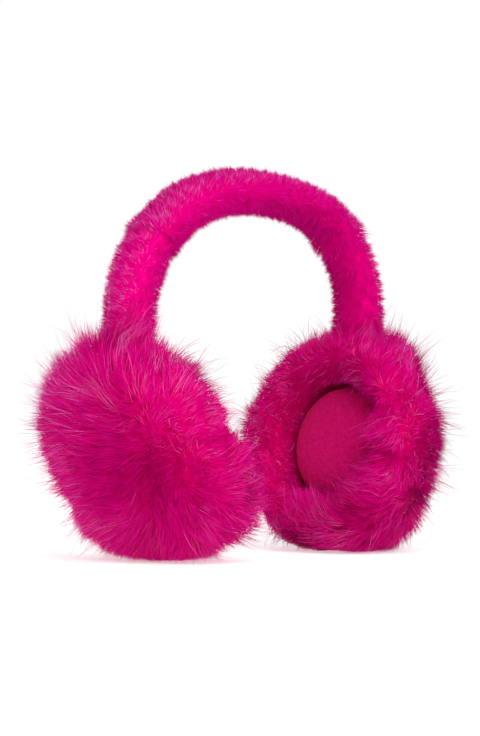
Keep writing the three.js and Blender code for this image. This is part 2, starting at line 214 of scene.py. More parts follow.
# Ear pads
PAD_RADIUS = RECESS_RADIUS - 0.5 * MM
PAD_RISE = 10.5 * MM             # of the dome before it is stuffed
PAD_FULLNESS = 0.87              # power of the dome's outline
PAD_VOXEL = 3.2 * MM
PAD_CAP = 1.2 * MM               # how far the stuffing moves a point at most
PAD_PRESSURE = 4
PAD_MOMENTS = 20                 # of the cloth simulation
PAD_STITCHES = 40                # gathers round the edge
GATHER_HEIGHT = 0.3 * MM
GATHER_REACH = 4 * MM
KNIT_PITCH = 1.1 * MM            # from rib to rib; a wave texture of scale 1 repeats every pi / 10 metres
MOTTLE_SCALE = 420.0             # its spots are about 2.4 mm wide

# Studio
SKY_LIGHT = 0.52
FLOOR_HALF_SIZE = 1500 * MM
FLOOR_GLOW = 0.5                 # light that the white paper lets through, so that it stays white to its edge


def unit(vectors):
    """Each vector divided by its length."""
    return vectors / np.maximum(np.linalg.norm(vectors, axis=-1, keepdims=True), 1e-12)


def along(weights, vectors):
    """Each vector times its own weight."""
    return np.asarray(weights)[..., None] * vectors


# Meshes

def new_piece(name, points, faces):
    """A mesh object from points and a list of face arrays, each of one number of corners."""
    mesh = bpy.data.meshes.new(name)
    corners = np.concatenate([face.ravel() for face in faces])
    sizes = np.concatenate([np.full(len(face), face.shape[1]) for face in faces])
    mesh.vertices.add(len(points))
    mesh.vertices.foreach_set("co", points.astype(np.float32).ravel())
    mesh.loops.add(len(corners))
    mesh.loops.foreach_set("vertex_index", corners.astype(np.int32))
    mesh.polygons.add(len(sizes))
    mesh.polygons.foreach_set("loop_start", (np.cumsum(sizes) - sizes).astype(np.int32))
    mesh.update(calc_edges=True)
    mesh.polygons.foreach_set("use_smooth", np.full(len(sizes), True))
    mesh.validate()
    piece = bpy.data.objects.new(name, mesh)
    bpy.context.scene.collection.objects.link(piece)
    return piece


def body_faces(rows, columns):
    """Faces of a closed body: a pole, rows of columns points, and the other pole."""
    side = np.arange(columns)
    beside = (side + 1) % columns
    row = 1 + columns * np.arange(rows - 1)[:, None]
    quads = np.stack([row + side, row + beside, row + columns + beside, row + columns + side], -1)
    last = 1 + columns * (rows - 1)
    first_fan = np.stack([np.zeros(columns, int), beside + 1, side + 1], -1)
    last_fan = np.stack([last + side, last + beside, np.full(columns, last + columns)], -1)
    return [quads.reshape(-1, 4), np.concatenate([first_fan, last_fan])]


def strand_points(lines, width, away, seed):
    """Points and normals of the strands. A hair is a spindle: a point at its root, three points round each
    inner place of its middle line, and its tip. Fur is so dense that light passes on from hair to hair, so the
    normals lie between the hair's own and that of the coat."""
    count, places = lines.shape[:2]
    random = np.random.default_rng(seed)
    run = unit(lines[:, 2:] - lines[:, :-2])
    aside = unit(np.cross(run, unit(random.normal(size=(count, 1, 3)))))
    other = np.cross(run, aside)
    share = np.linspace(0, 1, places)[1:-1]
    half = width[:, None] / 2 * (1 - 0.5 * share ** 2)
    turn = np.arange(3) * 2 * math.pi / 3
    ring = aside[:, :, None] * np.cos(turn)[:, None] + other[:, :, None] * np.sin(turn)[:, None]
    rings = lines[:, 1:-1, None] + half[:, :, None, None] * ring
    points = np.concatenate([lines[:, :1], rings.reshape(count, -1, 3), lines[:, -1:]], axis=1)
    own = np.concatenate([-run[:, :1], ring.reshape(count, -1, 3), run[:, -1:]], axis=1)
    return points, unit(OWN_NORMAL * own + away[:, None])


def strand_faces(count, places):
    """Faces of count strands: three triangles to the root, quads between two rings, and three triangles to
    the tip."""
    rings = places - 2
    size = 3 * rings + 2
    start = size * np.arange(count)[:, None, None]
    side = np.arange(3)
    beside = (side + 1) % 3
    row = 1 + 3 * np.arange(rings - 1)[:, None]
    quads = np.stack([row + side, row + beside, row + 3 + beside, row + 3 + side], -1).reshape(1, -1, 4)
    last = size - 4
    roots = np.stack([np.zeros(3, int), beside + 1, side + 1], -1)
    tips = np.stack([last + side, last + beside, np.full(3, size - 1)], -1)
    triangles = np.concatenate([roots, tips])[None]
    return [(start + quads).reshape(-1, 4), (start + triangles).reshape(-1, 3)]


def strand_map(tone, places):
    """Map place of each strand point: across is the hair's tone, up is the share of its length."""
    count = len(tone)
    share = np.linspace(0, 1, places)
    up = np.concatenate([share[:1], np.repeat(share[1:-1], 3), share[-1:]])
    spread = np.concatenate([[0], np.tile([-0.004, 0.0, 0.004], places - 2), [0]])
    return np.stack([tone[:, None] + spread, np.tile(up, (count, 1))], -1).clip(0.002, 0.998)


def fur_piece(name, parts):
    """One mesh of several parts, each (points, normals, faces, map places)."""
    points, normals, faces, places, start = [], [], [], [], 0
    for part_points, part_normals, part_faces, part_places in parts:
        part_points = part_points.reshape(-1, 3)
        points.append(part_points)
        normals.append(part_normals.reshape(-1, 3))
        places.append(part_places.reshape(-1, 2))
        faces += [face + start for face in part_faces]
        start += len(part_points)
    piece = new_piece(name, settled(np.concatenate(points)), faces)
    mesh = piece.data
    corners = np.zeros(len(mesh.loops), np.int32)
    mesh.loops.foreach_get("vertex_index", corners)
    layer = mesh.uv_layers.new(name="OFBake")
    layer.uv.foreach_set("vector", np.concatenate(places)[corners].astype(np.float32).ravel())
    mesh.normals_split_custom_set_from_vertices(np.concatenate(normals).astype(np.float32))
    return piece


def settled(points):
    """Heights under the floor's give are squeezed into it, so that nothing reaches the floor, and the longest
    hair is squeezed in the same way where it stands furthest out."""
    height = points[:, 2]
    pressed = FLOOR_GIVE * np.exp(np.minimum(height / FLOOR_GIVE - 1, 0))
    points[:, 2] = np.where(height < FLOOR_GIVE, pressed, height)
    for axis, (reach, give) in enumerate(zip(HAIR_REACH, HAIR_GIVE)):
        beyond = np.maximum(np.abs(points[:, axis]) - reach, 0)
        points[:, axis] -= np.sign(points[:, axis]) * (beyond - give * np.tanh(beyond / give))
    return points


# Surfaces that the fur grows on. Each gives, for two parameters, the place on it and the directions there.

class CupSkin:
    """The close fur of a cup, turned round its axis: a superellipse dome from the middle of the outer face to
    the rim, then half an ellipse for the ring round the ear pad, then the wall of the pad's recess."""

    def __init__(self, name, whorl_share, whorl_angle, seed):
        self.seed = seed
        self.middle, self.outward = cup_place(name)
        self.sideways = np.array([0.0, 1.0, 0.0])
        self.up = np.cross(self.outward, self.sideways)
        self.up *= np.sign(self.up[2])
        self.side = np.sign(self.outward[0])
        angle = np.linspace(0, math.pi / 2, 200)[:-1]
        power = 2 / CUP_SQUARENESS
        dome = [CUP_RADIUS * np.sin(angle) ** power, CUP_OUTER_DEPTH * np.cos(angle) ** power]
        angle = np.linspace(0, math.pi, 200)
        ring_middle = (CUP_RADIUS + RECESS_RADIUS) / 2
        ring_half = (CUP_RADIUS - RECESS_RADIUS) / 2
        ring = [ring_middle + ring_half * np.cos(angle), -CUP_INNER_DEPTH * np.sin(angle)]
        self.outline = np.concatenate([dome, ring], axis=1)
        step = np.hypot(*np.diff(self.outline, axis=1))
        self.reach = np.concatenate([[0], np.cumsum(step)])
        self.length = self.reach[-1]
        self.run = np.gradient(self.outline, self.reach, axis=1)
        mean_radius = (self.outline[0, 1:] + self.outline[0, :-1]) / 2
        self.area = np.concatenate([[0], np.cumsum(step * mean_radius)])
        self.bumps = [
            (self.at(np.array(share), np.array(math.radians(angle)))[0], size, rise)
            for share, angle, size, rise in CUP_BUMPS[name]]
        self.whorl = self.at(np.array(whorl_share), np.array(math.radians(whorl_angle)))[0]

    def share_at_area(self, area_share):
        """Share of the outline's length that holds this share of the skin's area."""
        return np.interp(area_share * self.area[-1], self.area, self.reach) / self.length

    def at(self, share, angle):
        """At a share of the outline and an angle round the axis (0 is up): the place, the directions away
        from the skin and along the outline, and the distance from the axis."""
        reach = share * self.length
        radius, depth = (np.interp(reach, self.reach, line) for line in self.outline)
        run_radius, run_depth = (np.interp(reach, self.reach, line) for line in self.run)
        radial = along(np.cos(angle), self.up) + along(np.sin(angle), self.sideways)
        place = self.middle + along(radius, radial) + along(depth, self.outward)
        forward = unit(along(run_radius, radial) + along(run_depth, self.outward))
        away = unit(along(-run_depth, radial) + along(run_radius, self.outward))
        return place, away, forward, radius


def cup_place(name):
    """Middle of the cup at its rim, and its axis outward, from the ear pad's solid: its points are even round
    the axis, so their mean lies on it, and it is the direction in which they spread least."""
    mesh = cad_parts["ear_pad_" + name].data
    points = np.zeros(3 * len(mesh.vertices))
    mesh.vertices.foreach_get("co", points)
    points = np.unique(points.reshape(-1, 3).round(6), axis=0)
    middle = points.mean(0)
    axis = np.linalg.eigh(np.cov((points - middle).T))[1][:, 0]
    axis *= np.sign(axis[0] * middle[0])
    back = ((points - middle) @ axis).max()
    return middle + axis * (back - PAD_BACK), axis


class BandSkin:
    """The headband: an ellipse carried along its middle line, a superellipse arch whose ends bend down to
    their seats in the cups."""

    def __init__(self, cups):
        head_middle = (cups["left"].middle + cups["right"].middle) / 2
        angle = math.pi * (1 - np.linspace(0, 1, 801))
        power = 2 / BAND_SQUARENESS
        rise = BAND_TOP_HEIGHT - BAND_THICKNESS / 2 - BAND_WIDEST_HEIGHT
        arch = np.stack([
            head_middle[0] + BAND_HALF_SPAN * np.sign(np.cos(angle)) * np.abs(np.cos(angle)) ** power,
            np.full(angle.shape, head_middle[1]),
            BAND_WIDEST_HEIGHT + rise * np.maximum(np.sin(angle), 0) ** power,
        ], -1)
        left = self.leg(cups["left"], arch[0])
        right = self.leg(cups["right"], arch[-1])
        self.line = np.concatenate([left[::-1][:-1], arch, right[1:]])
        step = np.linalg.norm(np.diff(self.line, axis=0), axis=1)
        reach = np.concatenate([[0], np.cumsum(step)])
        self.reach = reach - np.interp(0, self.line[:, 0] - head_middle[0], reach)
        self.run = unit(np.gradient(self.line, reach, axis=0))

    def leg(self, cup, widest):
        """From the arch's end straight down, bending to the seat above the ear pad's recess."""
        seat = cup.middle + BAND_SEAT * cup.up
        knee = np.array([widest[0], widest[1], (widest[2] + seat[2]) / 2])
        share = np.linspace(0, 1, 80)[:, None]
        return (1 - share) ** 2 * widest + 2 * share * (1 - share) * knee + share ** 2 * seat

    def swell(self, distance, angle):
        """How much the fur stands out over its even thickness: the sum of BAND_BUMPS, each a bell curve along
        the band, on its outer or inner side."""
        total = 0 * distance
        for middle, width, outer, inner in BAND_BUMPS:
            side = np.where(np.cos(angle) > 0, outer, inner) * np.abs(np.cos(angle))
            total = total + side * np.exp(-((distance - middle) / width) ** 2)
        return total

    def at(self, distance, angle, inset):
        """At a distance from the top and an angle round the band (0 is outward): the place, and the
        directions away from the band, along it and across it."""
        middle = np.stack([np.interp(distance, self.reach, line) for line in self.line.T], -1)
        forward = unit(np.stack([np.interp(distance, self.reach, line) for line in self.run.T], -1))
        outward = np.stack([-forward[..., 2], 0 * distance, forward[..., 0]], -1)
        front = np.array([0.0, -1.0, 0.0])
        thick = BAND_THICKNESS / 2 - inset + self.swell(distance, angle)
        wide = BAND_WIDTH / 2 - inset
        place = middle + along(thick * np.cos(angle), outward) + along(wide * np.sin(angle), front)
        away = unit(along(np.cos(angle) / thick, outward) + along(np.sin(angle) / wide, front))
        return place, away, forward, np.cross(away, forward)


# Hair

def hair_lines(root, rise, lean, length, places):
    """Middle lines of hairs: each sets out along rise and turns towards lean in equal steps."""
    turn = ((np.arange(places - 1) + 0.5) / (places - 1))[None, :, None]
    way = unit(rise[:, None] * (1 - turn) + lean[:, None] * turn)
    steps = way * (length / (places - 1))[:, None, None]
    return np.concatenate([root[:, None], root[:, None] + np.cumsum(steps, axis=1)], axis=1)


def gathered(lines, leaders, pull):
    """Hairs drawn towards the leader of their lock, more so towards the tip."""
    share = np.linspace(0, 1, lines.shape[1])[None, :, None] ** 1.4
    return lines + (leaders - lines) * pull[:, None, None] * share


def crimped(lines, size, waves, seed):
    """Hairs with a slight wave across their run, nothing at the root."""
    random = np.random.default_rng(seed)
    count, places = lines.shape[:2]
    share = np.linspace(0, 1, places)
    phase = random.uniform(0, 2 * math.pi, (count, 1))
    sway = size[:, None] * share * np.sin(phase + 2 * math.pi * waves * share)
    aside = unit(np.cross(lines[:, -1] - lines[:, 0], random.normal(size=(count, 3))))
    return lines + sway[:, :, None] * aside[:, None]


def drift(places, wavelength, seed):
    """A smooth random direction for each place: plane waves of about that wavelength, added up."""
    random = np.random.default_rng(seed)
    waves = random.normal(size=(3, 8)) * 2 * math.pi / wavelength / math.sqrt(3)
    phase = random.uniform(0, 2 * math.pi, (8, 3))
    return np.sin((places @ waves)[..., None] + phase).mean(-2) * 2


def cup_flow(skin, share, angle, place, away, forward, flat):
    """Directions in which hair sets out and in which it ends. It stands up at the whorl and lies ever flatter
    away from it, over the dome and the rim. On the ring it stands up again, and leans over the pad below and
    in front and off it above and behind. Everywhere it wanders, and gathers in soft clumps."""
    from_whorl = place - skin.whorl
    from_whorl -= along((from_whorl * away).sum(-1), away)
    distance = np.linalg.norm(from_whorl, axis=-1)
    spread = along(distance / (distance ** 2 + WHORL_SIZE ** 2), from_whorl)
    on_ring = np.interp(share, [0.5, 0.66, 0.8], [0, 0.75, 1])
    lean_to_pad = RING_LEAN_CHANGE * toward_pad(angle) - RING_LEAN_OFF
    comb = along(CUP_COMB * (1 - on_ring), spread) + along(on_ring * lean_to_pad, forward)
    inward = -along(np.cos(angle), skin.up) - along(np.sin(angle), skin.sideways)
    comb += along(RING_OVERHANG * on_ring * toward_pad(angle) ** 2, inward)
    comb *= flat
    wander = drift(place, FLOW_WAVELENGTH, skin.seed)
    clump = along(CLUMP_WEIGHT + RING_CLUMP_WEIGHT * on_ring, drift(place, CLUMP_WAVELENGTH, skin.seed + 1))
    sag = along(CUP_SAG * (1 - away[..., 2].clip(0, 1)), np.array([0, 0, -1.0]))
    rise = unit(away + ROOT_LEAN * comb + ROOT_LEAN * wander)
    lean = unit(along(1 + RING_STIFFNESS * on_ring, away) + comb + FLOW_WEIGHT * wander + clump + sag)
    return rise, lean


def toward_pad(angle):
    """1 where the ring's hair hangs over the pad, below and in front, down to 0 above and behind."""
    return 0.5 - 0.5 * np.cos(angle - OPEN_SIDE)


def extra_length(skin, place):
    """Share by which the hair is longer here, or shorter where it is below 0: the sum of the cup's bumps."""
    return sum(
        rise * np.exp(-(np.linalg.norm(place - middle, axis=-1) / size) ** 2)
        for middle, size, rise in skin.bumps)


def underfur_depth(skin, share, place):
    """Depth of the underfur below the skin: less on the ring, least where it meets the pad, and more where
    the hair is short."""
    hollow = HOLLOW_DEPTH * np.maximum(-extra_length(skin, place), 0) * np.interp(share, [0.7, 0.85], [1, 0])
    return hollow + np.interp(share, *UNDERFUR_DEPTH)


def lumps(skin, place):
    """Low swells of the fur, from -1 to 1."""
    return drift(place, LUMP_WAVELENGTH, skin.seed + 9)[..., 0].clip(-1, 1)


def hair_share_of_length(share, angle):
    """Hair keeps its length over the dome and shortens down the ring, less so where it hangs over the pad."""
    return 1 - np.interp(share, *SHORTER_DOWN_RING) * (SHORTEST_OFF_PAD - LONGER_TO_PAD * toward_pad(angle))


def painted_sheen_share(skin, share, angle, place):
    """Share of the hair that can be pale, a painted sheen, and is so here: none round the whorl, little on
    the ring, less where the hair is short, and more or less of it in patches everywhere."""
    amount = np.interp(np.linalg.norm(place - skin.whorl, axis=-1), PALE_FROM_WHORL, [0, 1])
    amount *= np.interp(share, [0.5, 0.75], [1, PALE_ON_RING]) * (1 - PALE_LOST_TO_PAD * toward_pad(angle))
    amount *= (1 + extra_length(skin, place)).clip(0, 1)
    amount *= (0.6 + drift(place, CLUMP_WAVELENGTH, skin.seed + 6)[..., 0]).clip(0.1, 1)
    return amount


def cup_locks(skin, random, kind):
    """The locks of a cup. Their middles stand evenly over the skin, on a sunflower spiral by area, and each
    has its own length, lie and tone, and a leader: the hair that its hairs are drawn to."""
    number = np.arange(kind["locks"])
    share = skin.share_at_area((number + 0.5) / len(number) * HAIRY_SHARE)
    angle = number * GOLDEN_TURN + random.normal(0, LOCK_STRAY, len(number))
    place, away, forward, radius = skin.at(share, angle)
    swell = LUMP_SWELL * lumps(skin, place)
    swell += np.interp(share, *CLUMP_SWELL) * drift(place, CLUMP_WAVELENGTH, skin.seed + 3)[:, 0]
    length = kind["length"] * (0.9 + 0.2 * random.random(len(number)) + swell)
    length += COAT["length"] * extra_length(skin, place)
    lie = random.normal(0, kind["tousle"], (len(number), 3))
    rise, lean = cup_flow(skin, share, angle, place, away, forward, kind["flat"])
    root = place - along(underfur_depth(skin, share, place), away)
    leader = hair_lines(root, unit(rise + lie), unit(lean + TIP_TOUSLE * lie),
                        length * hair_share_of_length(share, angle), kind["places"])
    at_whorl = np.exp(-(np.linalg.norm(place - skin.whorl, axis=-1) / WHORL_SIZE) ** 2)
    # Painted light and shade: hair is lighter on the swells, and darker in the valleys between them and round
    # the whorl
    tone = CUP_TONE + np.minimum(SWELL_PAINTED_LIGHT_AND_SHADE * swell, SWELL_PAINTED_LIGHT_MOST) - WHORL_PAINTED_SHADE * at_whorl
    tone += random.normal(0, CUP_TONE_SPREAD, len(number))
    return dict(share=share, angle=angle, radius=radius, length=length, lie=lie, leader=leader, tone=tone)


def cup_hairs(skin, seed, kind):
    """Hairs of a cup, scattered over a disc round the middle of their lock. Each strays a little from the
    lie, length and tone of its lock. The kind of hair is one of the dictionaries above."""
    random = np.random.default_rng(seed)
    locks = cup_locks(skin, random, kind)
    lock = {name: np.repeat(values, kind["per_lock"], axis=0) for name, values in locks.items()}
    count = kind["locks"] * kind["per_lock"]
    offset = kind["spread"] * np.sqrt(random.random(count))
    turn = random.uniform(0, 2 * math.pi, count)
    share = np.abs(lock["share"] + offset * np.cos(turn) / skin.length).clip(0, 1)
    angle = lock["angle"] + offset * np.sin(turn) / np.maximum(lock["radius"], LEAST_RADIUS)
    place, away, forward, _ = skin.at(share, angle)
    rise, lean = cup_flow(skin, share, angle, place, away, forward, kind["flat"])
    rise = unit(rise + lock["lie"] + random.normal(0, ROOT_TOUSLE * kind["tousle"], (count, 3)))
    lean = unit(lean + TIP_TOUSLE * lock["lie"] + random.normal(0, kind["tousle"], (count, 3)))
    length = lock["length"] * hair_share_of_length(share, angle)
    length *= kind["shortest"] + (1.06 - kind["shortest"]) * random.random(count)
    root = place - along(underfur_depth(skin, share, place), away)
    lines = hair_lines(root, rise, lean, length, kind["places"])
    lines = gathered(lines, lock["leader"], kind["pull"] * (0.5 + 0.5 * random.random(count)))
    lines = crimped(lines, kind["crimp"] * (0.4 + 0.6 * random.random(count)), 1.1, seed + 1)
    # Painted sheen: pale hairs
    pale = random.random(count) < kind["pale_share"] * painted_sheen_share(skin, share, angle, place)
    tone = lock["tone"] + random.normal(0, CUP_TONE_SPREAD, count) + kind["pale"] * pale
    width = kind["width"] * (0.75 + 0.5 * random.random(count))
    return (
        *strand_points(lines, width, away, seed + 2),
        strand_faces(count, kind["places"]),
        strand_map(tone.clip(0.02, 0.98), kind["places"]),
    )


def cup_underfur(skin, rows=70, columns=110):
    """Dense underfur below the hair: the skin drawn in, with shallow mounds, closed by the recess's floor.
    A mound's height is a sum of waves across the skin."""
    share = np.linspace(0, 1, rows)[:, None] * np.ones(columns)
    share = share.clip(0.004, 1)
    angle = np.linspace(0, 2 * math.pi, columns, endpoint=False)[None, :] * np.ones((rows, 1))
    place, away, *_ = skin.at(share, angle)
    mounds = drift(place, MOUND_WAVELENGTH, skin.seed + 2)[..., 0].clip(-1, 1)
    away_from_pad = np.interp(share, [0, 0.85, 1], [1, 1, 0])
    relief = LUMP_HEIGHT * lumps(skin, place) + MOUND_HEIGHT * mounds
    inset = underfur_depth(skin, share, place) - away_from_pad * relief
    place = place - along(inset, away)
    floor = place[-1] - along(((place[-1] - skin.middle) @ skin.outward) - PAD_BACK, skin.outward)
    rings = np.concatenate([place, floor[None]])
    normals = np.concatenate([skin.outward[None], away.reshape(-1, 3), away[-1], -skin.outward[None]])
    poles = [place[0].mean(0), floor.mean(0)]
    points = np.concatenate([poles[:1], rings.reshape(-1, 3), poles[1:]])
    faces = body_faces(rows + 1, columns)
    if skin.side < 0:
        faces = [face[:, ::-1] for face in faces]
    # Painted shade: the underfur is darker in the hollows between its mounds than on their tops
    tone = np.interp(mounds, [-1, 1], [0.2, 0.5])
    up = np.interp(mounds, [-1, 1], [0.03, 0.2])
    grid = np.stack([tone, up], -1)
    grid = np.concatenate([grid, grid[-1:]]).reshape(-1, 2)
    places = np.concatenate([grid[:1], grid, grid[-1:]])
    return points, normals, faces, places


def sleeve_waist(distance):
    """The side sleeves are slimmest where the top sleeve's end hangs over them."""
    beyond = np.abs(distance) - TOP_SLEEVE_LENGTH / 2
    return 1 + np.where(distance > 0, RIGHT_WAIST, LEFT_WAIST) * np.exp(-(beyond / SLEEVE_END) ** 2)


def band_hairs(skin, start, end, count, seed, length, width, slimming):
    """Short upright hairs of the headband, even over its surface, in small tufts that lean together."""
    random = np.random.default_rng(seed)
    number = np.arange(count)
    distance = start + (end - start) * (number + random.random(count)) / count
    angle = number * GOLDEN_TURN + random.normal(0, 0.2, count)
    inset = slimming * sleeve_waist(distance) + BAND_UNDERFUR_DEPTH
    place, away, forward, across = skin.at(distance, angle, inset)
    tuft = drift(place, TUFT_WAVELENGTH, TUFT_SEED)
    swirl = drift(place, FLOW_WAVELENGTH, SWIRL_SEED)
    at_end = np.interp(TOP_SLEEVE_LENGTH / 2 - np.abs(distance), [-0.1 * MM, 0, SLEEVE_END], [0, 1, 0])
    at_end *= np.where(distance > 0, 1, LEFT_END_SHARE)
    outer = np.interp(np.cos(angle), [0.2, 0.75], [0, 1])
    lean = TUFT_WEIGHT * tuft[:, 0] + SWIRL_WEIGHT * swirl[:, 0] + random.normal(0, BAND_STRAY, count)
    lean = lean * (1 - at_end) + END_LEAN * np.sign(distance) * at_end
    aside = TUFT_WEIGHT * tuft[:, 1] + SWIRL_WEIGHT * swirl[:, 1] + OUTER_COMB * outer
    aside += random.normal(0, BAND_STRAY, count)
    rise = unit(away + along(BAND_ROOT_LEAN * aside, across) + along(BAND_ROOT_LEAN * lean, forward))
    comb = unit(away + along(aside, across) + along(lean, forward))
    hair_length = length * (0.8 + 0.3 * random.random(count)) * (1 + 0.12 * tuft[:, 2]) * (1 + 0.4 * at_end)
    lines = hair_lines(place, rise, comb, hair_length, BAND_HAIR_PLACES)
    round_band = np.stack([distance, STREAK_RADIUS * np.cos(angle), STREAK_RADIUS * np.sin(angle)], -1)
    streak = drift(round_band, STREAK_WAVELENGTH, STREAK_SEED)[:, 0]
    # Painted sheen, highlight and shade: more pale hairs and stronger streaks on the outer side, where the
    # light catches the hair
    pale = random.random(count) < BAND_PALE_SHARE + OUTER_PAINTED_SHEEN_SHARE * outer
    tone = random.normal(BAND_TONE, BAND_TONE_SPREAD, count)
    tone += (STREAK_TONE + OUTER_PAINTED_STREAKS * outer) * streak + BAND_PALE * pale
    return (
        *strand_points(lines, width * (0.75 + 0.5 * random.random(count)), away, seed + 2),
        strand_faces(count, BAND_HAIR_PLACES),
        strand_map(tone.clip(0.02, 0.98), BAND_HAIR_PLACES),
    )


def band_underfur(skin, start, end, slimming, rows, columns=40):
    """Dense underfur of one sleeve: its surface drawn in, with closed ends, and with a ripple that is one
    sine along the band times another one round it."""
    distance = np.linspace(start, end, rows)[:, None] * np.ones(columns)
    angle = np.linspace(0, 2 * math.pi, columns, endpoint=False)[None, :] * np.ones((rows, 1))
    ripple = np.sin(distance / (2.2 * MM)) * np.sin(5 * angle + distance / (7 * MM))
    inset = slimming * sleeve_waist(distance) + BAND_UNDERFUR_DEPTH - RIPPLE_HEIGHT + RIPPLE_HEIGHT * ripple
    rings, away, forward, _ = skin.at(distance, angle, inset)
    poles = [rings[0].mean(0), rings[-1].mean(0)]
    points = np.concatenate([poles[:1], rings.reshape(-1, 3), poles[1:]])
    tone = np.interp(ripple, [-1, 1], [0.3, 0.55]).reshape(-1)
    up = np.interp(ripple, [-1, 1], [0.2, 0.4]).reshape(-1)
    grid = np.stack([tone, up], -1)
    normals = np.concatenate([-forward[0, :1], away.reshape(-1, 3), forward[-1, :1]])
    return points, normals, body_faces(rows, columns), np.concatenate([grid[:1], grid, grid[-1:]])


# Materials

def linear(hex_colour):
    """sRGB hex to a linear colour with alpha."""
    shares = [int(hex_colour[i:i + 2], 16) / 255 for i in (1, 3, 5)]
    return tuple(s / 12.92 if s <= 0.04045 else ((s + 0.055) / 1.055) ** 2.4 for s in shares) + (1.0,)


def node(tree, kind, inputs=None, **settings):
    """Adds a node, sets its properties, and gives its inputs their numbers or links."""
    new = tree.nodes.new(kind)
    for name, value in settings.items():
        setattr(new, name, value)
    for name, value in (inputs or {}).items():
        if isinstance(value, bpy.types.NodeSocket):
            tree.links.new(value, new.inputs[name])
        else:
            new.inputs[name].default_value = value
    return new


def ramp(tree, factor, stops):
    """A colour ramp through (place, colour) stops."""
    new = node(tree, "ShaderNodeValToRGB", {"Fac": factor})
    elements = new.color_ramp.elements
    while len(elements) < len(stops):
        elements.new(0.5)
    for element, (place, colour) in zip(elements, stops):
        element.position = place
        element.color = linear(colour)
    return new.outputs["Color"]


def new_material(name):
    """An empty material with its output node."""
    material = bpy.data.materials.new(name)
    material.use_nodes = True
    material.node_tree.nodes.clear()
    return material, material.node_tree, node(material.node_tree, "ShaderNodeOutputMaterial")


def dyed_fur(name, shades, pale, dark, roughness, tint):
    """Dyed fur: hair dark at the root and brighter to the tip, every hair of a slightly different tone, with
    the soft tinted gloss of a hair's cuticle. The tone mixes in a pale colour, which is painted sheen, and a
    dark one, which is partly painted shade."""
    material, tree, output = new_material(name)
    place = node(tree, "ShaderNodeUVMap", uv_map="OFBake")
    parts = node(tree, "ShaderNodeSeparateXYZ", {"Vector": place.outputs["UV"]})
    colour = ramp(tree, parts.outputs["Y"], shades)
    darker = node(tree, "ShaderNodeMapRange", {
        "Value": parts.outputs["X"], "From Min": DARK_TONES[0], "From Max": DARK_TONES[1],
        "To Min": 0.0, "To Max": DARK_AMOUNT})
    colour = node(tree, "ShaderNodeMix", {0: darker.outputs[0], 6: colour, 7: linear(dark)}, data_type="RGBA")
    paler = node(tree, "ShaderNodeMapRange", {
        "Value": parts.outputs["X"], "From Min": PALE_TONES[0], "From Max": PALE_TONES[1],
        "To Min": 0.0, "To Max": PALE_AMOUNT})
    colour = node(tree, "ShaderNodeMix", {0: paler.outputs[0], 6: colour.outputs[2], 7: linear(pale)},
                  data_type="RGBA")
    shader = node(tree, "ShaderNodeBsdfPrincipled", {
        "Base Color": colour.outputs[2], "Roughness": roughness, "IOR": 1.55, "Specular IOR Level": 0.05,
        "Specular Tint": linear(tint)})
    tree.links.new(shader.outputs["BSDF"], output.inputs["Surface"])
    return material


# Their pale colours are painted sheen, and their dark colours partly painted shade.
cup_fur = dyed_fur(
    "dyed_rabbit_fur_long", [(0.0, "#dc0068"), (0.35, "#e8007c"), (0.75, "#ec008a"), (1.0, "#f00c9a")],
    pale="#f488d4", dark="#940044", roughness=0.45, tint="#ff40b0")
band_fur = dyed_fur(
    "dyed_rabbit_fur_short", [(0.0, "#e0007c"), (0.4, "#e60086"), (0.8, "#ea0090"), (1.0, "#ee14a0")],
    pale="#e684d0", dark="#a80056", roughness=0.5, tint="#ff40b0")


def jersey():
    """Brushed polyester jersey of the ear pads: matt, a fine knit of rows and ribs, with a slight mottle."""
    material, tree, output = new_material("brushed_jersey")
    place = node(tree, "ShaderNodeTexCoord").outputs["Object"]
    rows, ribs = (
        node(tree, "ShaderNodeTexWave", {
            "Vector": place, "Scale": math.pi / 10 / KNIT_PITCH, "Distortion": 1.5, "Detail": 2.0,
            "Detail Scale": 0.6}, bands_direction=direction)
        for direction in "ZY")
    knit = node(tree, "ShaderNodeMath", {0: rows.outputs["Fac"], 1: ribs.outputs["Fac"]},
                operation="MULTIPLY")
    mottle = node(tree, "ShaderNodeTexNoise", {
        "Vector": place, "Scale": MOTTLE_SCALE, "Detail": 3.0, "Roughness": 0.6})
    both = node(tree, "ShaderNodeMath", {0: knit.outputs[0], 1: 0.5, 2: mottle.outputs["Fac"]},
                operation="MULTIPLY_ADD")
    colour = ramp(tree, both.outputs[0], [(0.3, "#aa0050"), (0.6, "#ba005a"), (0.9, "#d40c70")])
    bump = node(tree, "ShaderNodeBump", {"Height": both.outputs[0], "Strength": 0.5, "Distance": 0.3 * MM})
    shader = node(tree, "ShaderNodeBsdfPrincipled", {
        "Base Color": colour, "Roughness": 0.95, "IOR": 1.5, "Specular IOR Level": 0.1,
        "Normal": bump.outputs["Normal"], "Sheen Weight": 0.03, "Sheen Roughness": 0.5,
        "Sheen Tint": linear("#ff9ac8")})
    tree.links.new(shader.outputs["BSDF"], output.inputs["Surface"])
    return material


pad_cloth = jersey()


def dressed(piece, material, slot, *nodes):
    """Gives a piece its material and the body that it rides on. The slot is not used."""
    piece.data.materials.append(material)
    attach(piece, "root")
    if nodes:
        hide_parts(*nodes)
    return piece


def sleeve(skin, name, start, end, drawn_in, slimming, rows, kinds, seeds):
    """One sleeve of the headband: underfur, drawn in at its ends, with hair of two kinds on it."""
    parts = [band_underfur(skin, start + drawn_in, end - drawn_in, slimming, rows)]
    for (count, length, width), seed in zip(kinds, seeds):
        parts.append(band_hairs(skin, start, end, count, seed, length, width, slimming))
    dressed(fur_piece(f"headband_fur_{name}", parts), band_fur, "band_fur", f"headband_{name}")


# Ear pads

